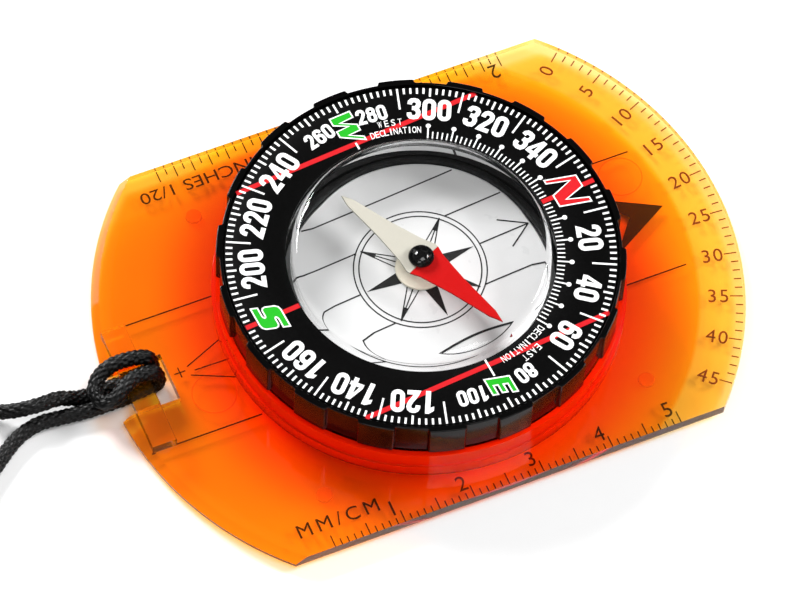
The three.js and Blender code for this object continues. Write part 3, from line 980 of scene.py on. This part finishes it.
# ---------------------------------------------------------------- baseplate
PLATE_RADIUS = 44.2
PLATE_HALF = PLATE_HIGH.y
EYE_LOW, EYE_HIGH, EYE_INNER = -3.2, 4.1, -35.9
BRIDGE_X, BRIDGE_Y, BRIDGE_TOP, BRIDGE_UNDER = (-42.3, -38.9), (-9.5, 9.5), 3.95, 2.7
LEDGE_RADIUS, COLLAR_BORE, COLLAR_RADIUS, COLLAR_STEP = 25.25, 26.95, 28.0, 27.7
STEP_HEIGHT = 4.6  # height at which the collar steps in


def sector(profile, start, end, steps):
    """A body swept part of the way round Z from a closed (radius, height) profile."""
    count, verts, faces = len(profile), [], []
    for k in range(steps + 1):
        verts += [(*polar(r, start + (end - start) * k / steps), z) for r, z in profile]
    for k in range(steps):
        for i in range(count):
            n = (i + 1) % count
            faces.append((k * count + i, k * count + n, (k + 1) * count + n,
                          (k + 1) * count + i))
    faces += [tuple(reversed(range(count))), tuple(range(steps * count, (steps + 1) * count))]
    return verts, faces


class COMPASS_OT_baseplate(bpy.types.Operator):
    """Moulds the baseplate with its collar, bridge and notch"""

    bl_idname = "compass.baseplate"
    bl_label = "Baseplate"

    def execute(self, context):
        settings = context.scene.compass_plate
        half, high, low = (math.degrees(math.asin(y / PLATE_RADIUS))
                           for y in (PLATE_HALF, EYE_HIGH, -EYE_LOW))
        outline = arc(PLATE_RADIUS, -half, half, 72)
        outline += arc(PLATE_RADIUS, 180 - half, 180 - high, 32)
        outline += [(EYE_INNER, EYE_HIGH), (EYE_INNER, EYE_LOW)]
        outline += arc(PLATE_RADIUS, 180 + low, 180 + half, 34)
        sheet = prism(outline, PLATE_LOW.z, PLATE_TOP)
        rim, foot, inside = PLATE_HIGH.z, 1.3, 26  # the foot is inside the plate, to join it
        collar = lathe([(inside, foot), (COLLAR_RADIUS, foot), (COLLAR_RADIUS, STEP_HEIGHT),
                        (COLLAR_STEP, STEP_HEIGHT), (COLLAR_STEP, rim), (inside, rim)])
        (left, right), foot = BRIDGE_Y, 1.5
        arch = [(left, foot), (EYE_LOW, foot), (EYE_LOW, BRIDGE_UNDER), (EYE_HIGH, BRIDGE_UNDER),
                (EYE_HIGH, foot), (right, foot), (right, BRIDGE_TOP), (left, BRIDGE_TOP)]
        verts, faces = prism(arch, *BRIDGE_X)
        bridge = [(z, x, y) for x, y, z in verts], faces
        bore = lathe([(0, 1.8), (COLLAR_BORE, 1.8), (COLLAR_BORE, 9), (0, 9)], closed=False)
        hole = lathe([(0, 0), (LEDGE_RADIUS, 0), (LEDGE_RADIUS, 5), (0, 5)], closed=False)
        bevel = sector([(PLATE_RADIUS - 1.1, PLATE_TOP + 0.01), (PLATE_RADIUS + 0.2, 1.31),
                        (PLATE_RADIUS + 0.2, PLATE_TOP + 0.01)], 133, 227, 96)
        mesh = carve(sheet, [("DIFFERENCE", bevel), ("UNION", bridge), ("UNION", collar),
                             ("DIFFERENCE", bore), ("DIFFERENCE", hole)])
        plate = place_piece("baseplate_moulding", mesh, ON_PLATE,
                            moulded_orange_acrylic(settings), ("baseplate",))
        ease_edges(plate, settings.easing)
        return {"FINISHED"}


class COMPASS_OT_plate_prints(bpy.types.Operator):
    """Prints the rulers, the protractor and the lines on the underside of the baseplate"""

    bl_idname = "compass.plate_prints"
    bl_label = "Plate Prints"

    def execute(self, context):
        settings = context.scene.compass_plate
        top = PLATE_LOW.z - SKIN
        millimetres, inches, protractor, lines, arrow, witness = (
            Marks(top - INK, top) for _ in range(6))
        fine, edge = 0.17, PLATE_HALF - 0.1
        for k in range(51):
            x, inner = k - 25.1, 29.3 if k % 5 == 0 else 30.15
            millimetres.bar((x, -edge), (x, -inner), fine)
        for k in range(5):
            millimetres.text(str(k + 1), (-16.0 + 9.97 * k, -28.6), 2.2, narrow=0.95)
        millimetres.text("MM/CM", (-23.2, -27.3), 2.0, spacing=1.35, width=11.4)
        for k in range(41):
            x, inner = 1.27 * k - 25.6, 29.7 if k % 2 == 0 else 30.5
            inches.bar((x, edge), (x, inner), fine)
        for k in range(2):
            inches.text(str(k + 1), (25.4 * k - 1.5, 29.2), 2.2, turn=180)
        inches.text("INCHES 1/20", (-20.9, 28.0), 1.8, turn=180, width=16.6)
        for k in range(46):
            angle = 41.0 - 80.9 * k / 45
            protractor.spoke(angle, 42.2 if k % 5 == 0 else 42.95, 43.95, fine)
            if k % 5 == 0:
                protractor.text(str(k), polar(40.6, angle), 2.0, turn=angle, spacing=1.15)
        for y, rear in ((10.4, -38.4), (-9.0, -41.9)):
            end = math.sqrt(COLLAR_RADIUS ** 2 - y ** 2)
            lines.bar((rear, y), (-end, y), 0.2)
            lines.bar((end, y), (35.7, y), 0.2)
        x, y, arm = -34.3, 0.98, 0.8
        for start, end in (((x - arm, y), (x + arm, y)), ((x, y - arm), (x, y + arm)),
                           ((-33.05, 1.47), (-27.5, 3.77)), ((-32.3, 0.6), (-26.6, 0.5)),
                           ((-33.1, 0.1), (-27.3, -2.56))):
            lines.bar(start, end, fine)
        arrow.shape([(36.6, 0.65), (28.6, 4.95), (28.6, 4.3), (31.6, 0.65), (28.6, -3.0),
                     (28.6, -3.75)])
        for centre in ((-31.2, -3.7), (33.1, 7.1)):
            witness.hoop(3.0, 0.1, centre)
        dark = screen_ink("plate_ink_dark", settings.ink)
        faded = screen_ink("plate_ink_scale", settings.faded_ink)
        pale = moulded_plastic("ejector_witness", tint(0xFFC060), 0.2, size_mm=1.0)
        for name, marks, material in (
                ("millimetre_ruler", millimetres, dark), ("inch_ruler", inches, dark),
                ("protractor_scale", protractor, faded), ("travel_lines", lines, dark),
                ("travel_arrow", arrow, dark), ("ejector_circles", witness, pale)):
            marks.piece(name, ON_PLATE, material, "orange_acrylic")
        return {"FINISHED"}


class COMPASS_OT_feet(bpy.types.Operator):
    """Sets the four domed silicone feet under the baseplate"""

    bl_idname = "compass.feet"
    bl_label = "Feet"

    def execute(self, context):
        material, tree = new_material("orange_silicone_moulded")
        peel = grain(tree, 0.5)
        shader = add_node(tree, "ShaderNodeBsdfPrincipled", {
            "Base Color": shaded(tree, peel, linear(0xFFDCA0), linear(0xFFE6B4)),
            "Roughness": spread(tree, peel, 0.1, 0.2), "IOR": 1.41,
            "Transmission Weight": 0.15})
        output(tree, lets_light_through(tree, shader.outputs["BSDF"], linear(0xFFE8C0)))
        for k in range(1, 5):
            low, high = (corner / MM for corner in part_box(f"foot_{k}"))
            radius = (high.x - low.x) / 2
            profile = [(0, low.z), (radius * 0.55, low.z), (radius * 0.85, low.z + 0.12),
                       (radius, low.z + 0.4), (radius, high.z - 0.06),
                       (radius - 0.06, high.z), (0, high.z)]
            centre = Vector(((low.x + high.x) / 2, (low.y + high.y) / 2, 0))
            place = Matrix.Translation(centre * MM), "baseplate"
            make_piece(f"domed_foot_{k}", lathe(profile, 48, closed=False), place, material,
                       (f"foot_{k}",))
        return {"FINISHED"}


# ---------------------------------------------------------------- bezel and dial
class COMPASS_OT_bezel(bpy.types.Operator):
    """Turns the black bezel with its finger lugs, and finishes the ring that keeps it in"""

    bl_idname = "compass.bezel"
    bl_label = "Bezel"

    def execute(self, context):
        settings = context.scene.compass_dial
        seat, web = DIAL_TOP - 0.7, 11.1  # the dial lies on the seat, a web under it
        lug_low, lug_high = 7.55, BEZEL_TOP - 0.1
        bore, sleeve, skirt, rim, body, lug = 18.2, 23.9, 26.6, 26.5, 26.9, 27.4
        profile = [
            (sleeve, 0.3), (24.9, 0.3), (24.9, 2.1), (skirt, 2.1), (skirt, lug_low),
            (body, lug_low), (body, lug_high), (body - 0.08, BEZEL_TOP), (rim, BEZEL_TOP),
            (rim, seat), (bore, seat), (bore, web), (sleeve, web),
        ]
        line = rounded_profile(profile, [0.2, 0.2, 0, 0, 0.2, 0.15, 0.12, 0.1, 0.12, 0, 0.1, 0.1,
                                         0.3], 3)
        pitch, first, half = 360 / settings.lug_count, -10, 5.2  # degrees
        flank = [(0.35, 0.0), (0.1, 0.25), (-0.1, 0.8), (-0.4, 1.0)]
        steps = [(-half - out, share) for out, share in flank]
        steps += [(offset, 1.0) for offset in (-3.4, -1.7, 0, 1.7, 3.4)]
        steps += [(half + out, share) for out, share in reversed(flank)]
        steps += [(offset, 0.0) for offset in (7.1, 8.6, 10.0, 11.4, 12.9)]
        columns = [(first + k * pitch + offset, share)
                   for k in range(settings.lug_count) for offset, share in steps]
        verts, faces, count = [], [], len(line)
        for angle, share in columns:
            for r, z in line:
                grown = r + share * (lug - body) if r > body - 0.2 else r
                verts.append((*polar(grown, angle), z))
        for c in range(len(columns)):
            n = (c + 1) % len(columns)
            for i in range(count):
                j = (i + 1) % count
                faces.append((c * count + i, n * count + i, n * count + j, c * count + j))
        plastic = moulded_plastic("black_abs_gloss", settings.bezel, 0.16, mottle=0.2,
                                  size_mm=1.2, depth_mm=0.004, specular=0.16)
        make_piece("bezel_with_lugs", (verts, faces), ON_DIAL, plastic,
                   ("bezel_ring",), smooth=32)
        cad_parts["retaining_ring"].material_slots[0].material = plastic
        return {"FINISHED"}


class COMPASS_OT_dial(bpy.types.Operator):
    """Prints the dial: degrees, letters, declination scale and red lines"""

    bl_idname = "compass.dial"
    bl_label = "Dial"

    def execute(self, context):
        settings = context.scene.compass_dial
        face = moulded_plastic("dial_black_satin", settings.face, 0.4, mottle=0.3, size_mm=0.25,
                               depth_mm=0.003, specular=0.08)
        low = DIAL_TOP - 0.4
        make_piece("dial_disc", lathe(rounded_profile(
            [(18.1, low), (26.2, low), (26.2, DIAL_TOP), (18.1, DIAL_TOP)], 0.06, 2)),
            ON_DIAL, face, ("graduated_dial",))
        top = DIAL_TOP + SKIN
        white, red, green = (screen_ink(f"dial_ink_{name}", colour, 0.5) for name, colour in (
            ("white", settings.figures), ("red", settings.red), ("green", settings.green)))
        for name, marks, ink in (
                ("dial_red_lines", self.red_lines(top), red),
                ("dial_ticks", self.ticks(top), white),
                ("dial_figures", self.figures(top), white),
                ("declination_scale", self.declination(top), white)):
            marks.piece(name, NORTH_UP, ink, "dial_black")
        for letter, centre, height, width, slant, ink in (
                ("N", (0.0, 22.15), 4.05, 4.3, 0.26, red),
                ("S", (0.0, -22.5), 3.4, 3.3, 0.31, green),
                ("W", (-21.7, 0.0), 2.8, 4.7, 0.0, green),
                ("E", (22.6, 0.1), 3.05, 2.35, 0.28, green)):
            for name, grow, lift, paint in (("_outline", 0.2, 1.2, white), ("", 0.0, 1.8, ink)):
                marks = Marks(top + lift * INK, top + (lift + 0.6) * INK)
                marks.shape(letter_outline(letter, centre, width, height, slant, grow))
                marks.piece(f"letter_{letter}{name}", NORTH_UP, paint, "dial_black")
        return {"FINISHED"}

    def red_lines(self, top):
        """The line at each end of the north axis, and two along the sides."""
        marks = Marks(top, top + 0.5 * INK)
        for y0, y1 in ((18.2, 20.0), (24.4, 26.1), (-18.2, -20.6), (-24.5, -26.1)):
            marks.bar((0, y0), (0, y1), 0.7)
        for x, y0, y1 in ((-19.2, -18.0, 18.2), (19.1, -18.1, 18.2)):
            marks.bar((x, y0), (x, y1), 0.7)
        return marks

    def ticks(self, top):
        """A tick every two degrees, longer between the figures."""
        marks = Marks(top, top + INK)
        for bearing in range(0, 360, 2):
            if bearing in (0, 180):
                continue
            inner, wide = 25.2, 0.28
            if bearing % 20 == 10:
                inner, wide = 22.8, 0.26
            elif bearing % 20 == 0:
                inner = 24.8
            if bearing in (90, 270):
                inner = 24.6
            marks.spoke(90 - bearing, inner, 26.1, wide)
        for x0, x1 in ((-18.2, -19.3), (18.2, 20.9)):
            marks.bar((x0, 0), (x1, 0), 0.26)
        return marks

    def figures(self, top):
        """A figure every twenty degrees, smaller beside a letter."""
        marks = Marks(top + 0.2 * INK, top + INK)
        for bearing in range(20, 360, 20):
            if bearing == 180:
                continue
            small = bearing in (80, 100, 260, 280)
            height, width = (2.4, 1.3) if small else (3.4, 1.85)
            marks.figures(bearing, polar(22.7, 90 - bearing), height, -bearing, width)
        return marks

    def declination(self, top):
        """The inner scale of sixty degrees each way, with its captions."""
        marks = Marks(top, top + INK)
        for bearing in range(-60, 61, 2):
            if bearing == 0:
                continue
            if bearing % 10:
                marks.spoke(90 - bearing, 18.15, 19.2, 0.17)
                continue
            marks.spoke(90 - bearing, 18.15, 20.0, 0.2)
            marks.disc(polar(20.1, 90 - bearing), 0.34)
        for words, radius, first, last in (
                ("WEST", 20.85, -78.3, -70.7), ("DECLINATION", 19.45, -82.4, -63.6),
                ("EAST", 20.85, 69.7, 76.3), ("DECLINATION", 19.35, 62.8, 83.2)):
            for k, letter in enumerate(words):
                bearing = first + (last - first) * k / (len(words) - 1)
                marks.text(letter, polar(radius, 90 - bearing), 1.0, turn=-bearing,
                           width=0.18 if letter == "I" else 0.56)
        return marks


# ---------------------------------------------------------------- capsule and needle
ROSE_RADIUS = 8.92


class COMPASS_OT_capsule(bpy.types.Operator):
    """Makes the clear capsule with its liquid, and the printed chart on its floor"""

    bl_idname = "compass.capsule"
    bl_label = "Capsule"

    def execute(self, context):
        settings = context.scene.compass_capsule
        clear = polished_clear_acrylic()
        # The liquid nearly matches the plastic, so the lens and it are one clear body to light.
        floor = CHART_TOP - 0.65
        lens = lathe([
            (0, floor), (17.1, floor), (17.2, floor + 0.1), (17.2, 10.3), (19.2, 10.3),
            (19.2, 10.75), (17.45, 10.8), (17.4, 10.85), (17.4, 13.3), (17.34, 13.68),
            (17.18, 14.02), (16.9, 14.3), (16.5, 14.5), (14.8, 14.62), (11.2, 14.72),
            (6.0, 14.78), (0, 14.8)], closed=False)
        cup = lathe(rounded_profile(
            [(17.25, 4.9), (17.25, 9.9), (19.2, 9.9), (19.2, 9.3), (18.4, 9.3), (18.4, 3.9),
             (0.01, 3.9), (0.01, 4.9)], [0, 0.1, 0.1, 0.1, 0.1, 0.3, 0, 0], 3)[::-1])
        # Painted shade: a black ring round the chart's edge, put there to darken the band under
        # the capsule's wall and the chart's edge.
        low, high = CHART_TOP - 0.3, CHART_TOP + 1.5
        ring = lathe(rounded_profile(
            [(16.5, low), (17.1, low), (17.1, high), (16.5, high)], 0.12, 2))
        low, radius, ease = CHART_TOP - 0.4, 16.4, 0.05
        disc = lathe([(0, low), (radius - ease, low), (radius, low + ease),
                      (radius, CHART_TOP - ease), (radius - ease, CHART_TOP), (0, CHART_TOP)],
                     closed=False)
        painted_shade_black = moulded_plastic("black_painted_shade_ring", linear(0x020202), 0.5, specular=0.1)
        chart = moulded_plastic("chart_pale_satin", settings.chart, 0.32, mottle=0.05,
                                size_mm=2.5, depth_mm=0.01)
        make_piece("capsule_lens_filled", lens, ON_DIAL, clear,
                   ("capsule_lens",), smooth=30)
        make_piece("capsule_cup_clear", cup, ON_DIAL, clear, ("capsule_cup",),
                   smooth=30)
        make_piece("capsule_painted_shade_ring", ring, ON_DIAL, painted_shade_black)
        make_piece("chart_disc", disc, ON_DIAL, chart, ("compass_chart",))
        ink = screen_ink("chart_ink_black", settings.chart_ink)
        self.rose().piece("chart_rose", NORTH_UP, ink, "chart_plastic")
        self.orienting_lines().piece("orienting_lines", NORTH_UP, ink, "chart_plastic")
        rubber = moulded_plastic("black_rubber_plug", linear(0x101010), 0.7)
        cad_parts["filler_plug"].material_slots[0].material = rubber
        return {"FINISHED"}

    def rose(self):
        """Two rings round a star of eight points."""
        marks = Marks(CHART_TOP + SKIN, CHART_TOP + SKIN + INK)
        for radius in (ROSE_RADIUS, 8.2):
            marks.hoop(radius, 0.18)
        for k in range(8):
            along, side = Vector(polar(1, 45 * k)), Vector(polar(1, 45 * k + 90))
            if k % 2 == 0:
                marks.shape([along * 8.0, along * 2.6 + side * 1.0, along * 2.6 - side * 1.0])
                continue
            tip = along * 8.4
            for offset in (-0.85, 0.0, 0.85):
                marks.bar(along * 3.0 + side * offset, tip, 0.15)
            marks.shape([tip, along * 6.3 + side * 0.33, along * 6.3 - side * 0.33])
        return marks

    def orienting_lines(self):
        """Lines along the chart that stop at the rose, with an arrow head at the north end."""
        marks = Marks(CHART_TOP + SKIN, CHART_TOP + SKIN + INK)
        near, far, wide = 5.9, 11.9, 0.2
        stop = math.sqrt(ROSE_RADIUS ** 2 - near ** 2)
        marks.bar((0, ROSE_RADIUS), (0, 16.1), wide)
        marks.bar((0, -ROSE_RADIUS), (0, -16.1), wide)
        for side in (-1, 1):
            marks.bar((0, 16.2), (side * 2.3, 12.7), wide)
            marks.bar((side * near, stop), (side * near, 15.1), wide)
            marks.bar((side * near, -stop), (side * near, -15.1), wide)
            marks.bar((side * far, -11.1), (side * far, 10.9), wide)
        return marks


class COMPASS_OT_needle(bpy.types.Operator):
    """Makes the painted needle with its cap, and finishes the pivot it turns on"""

    bl_idname = "compass.needle"
    bl_label = "Needle"

    def execute(self, context):
        settings = context.scene.compass_capsule
        low, high = (corner.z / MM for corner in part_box("needle_blade"))
        north, south = (
            moulded_plastic(f"needle_paint_{name}", colour, 0.5, mottle=mottle, specular=0.1)
            for name, colour, mottle in (("red", settings.north, 0.06),
                                         ("white", settings.south, 0.05)))
        side = [(1.9, 2.3), (6.5, 1.42), (12.6, 0.62), (13.5, 0.3), (14.3, 0.0)]
        split, middle, widest = 0.5, 2.85, 2.9
        half = [(split, -middle)] + [(x, -y) for x, y in side[:-1]] + [side[-1]]
        half += [(x, y) for x, y in reversed(side[:-1])] + [(split, middle)]
        back = [(split, middle), (0, widest)] + [(-x, y) for x, y in side]
        back += [(-x, -y) for x, y in reversed(side[:-1])] + [(0, -widest), (split, -middle)]
        for name, outline, paint in (("needle_north_half", half, north),
                                     ("needle_south_half", back, south)):
            blade = make_piece(name, prism(outline, low, high), ON_NEEDLE, paint,
                               ("needle_blade",))
            ease_edges(blade, 0.08)
        gloss = moulded_plastic("cap_black_gloss", linear(0x020202), 0.06, specular=0.5)
        low, high = (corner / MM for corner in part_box("pivot_cap"))
        bore, stem, wide, brim = 0.8, 1.2, high.x, 10.5
        dome = [(wide * math.cos(a), brim + 0.15 + (high.z - brim - 0.15) * math.sin(a))
                for a in (math.radians(7.5 * k) for k in range(12))]
        cap = lathe([(0, low.z + 0.4), (bore, low.z + 0.4), (bore, low.z), (stem, low.z),
                     (stem, brim), (wide - 0.05, brim), (wide, brim + 0.06), *dome,
                     (0, high.z)], 72, closed=False)
        make_piece("needle_cap", cap, ON_NEEDLE, gloss, ("pivot_cap",))
        cream = moulded_plastic("pivot_seat_cream", settings.hub, 0.45)
        low, high = (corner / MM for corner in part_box("pivot_base"))
        radius, ease = 3.4, 0.1
        seat = lathe([(0, low.z), (radius, low.z), (radius, high.z - ease),
                      (radius - ease, high.z), (1.2, high.z), (0.9, high.z + 0.25),
                      (0, high.z + 0.25)], 96, closed=False)
        make_piece("pivot_seat", seat, ON_DIAL, cream, ("pivot_base",))
        steel = bare_metal("pivot_steel_ground", linear(0xC4C6C8), 0.25)
        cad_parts["pivot_post"].material_slots[0].material = steel
        ruby = moulded_plastic("jewel_ruby", linear(0xA01838), 0.05, specular=0.9)
        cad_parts["jewel_bearing"].material_slots[0].material = ruby
        return {"FINISHED"}


# ---------------------------------------------------------------- add-on
OPERATORS = (
    COMPASS_OT_camera, COMPASS_OT_lanyard, COMPASS_OT_baseplate, COMPASS_OT_plate_prints,
    COMPASS_OT_feet, COMPASS_OT_bezel, COMPASS_OT_dial, COMPASS_OT_capsule, COMPASS_OT_needle,
    COMPASS_OT_stage,
)


class COMPASS_PT_panel(bpy.types.Panel):
    """Lists what makes the compass, with its sizes and colours"""

    bl_idname = "COMPASS_PT_panel"
    bl_label = "Baseplate Compass"
    bl_space_type = "VIEW_3D"
    bl_region_type = "UI"
    bl_category = "Compass"

    def draw(self, context):
        for name, group in SETTINGS.items():
            box = self.layout.box()
            for setting in group.__annotations__:
                box.prop(getattr(context.scene, name), setting)
        for operator in OPERATORS:
            self.layout.operator(operator.bl_idname)


CLASSES = (*SETTINGS.values(), *OPERATORS, COMPASS_PT_panel)


def register():
    for item in CLASSES:
        bpy.utils.register_class(item)
    for name, group in SETTINGS.items():
        setattr(bpy.types.Scene, name, PointerProperty(type=group))


def unregister():
    for name in SETTINGS:
        delattr(bpy.types.Scene, name)
    for item in reversed(CLASSES):
        bpy.utils.unregister_class(item)


def main():
    register()
    for operator in OPERATORS:
        group, name = operator.bl_idname.split(".")
        getattr(getattr(bpy.ops, group), name)()


if __name__ == "__main__":
    main()
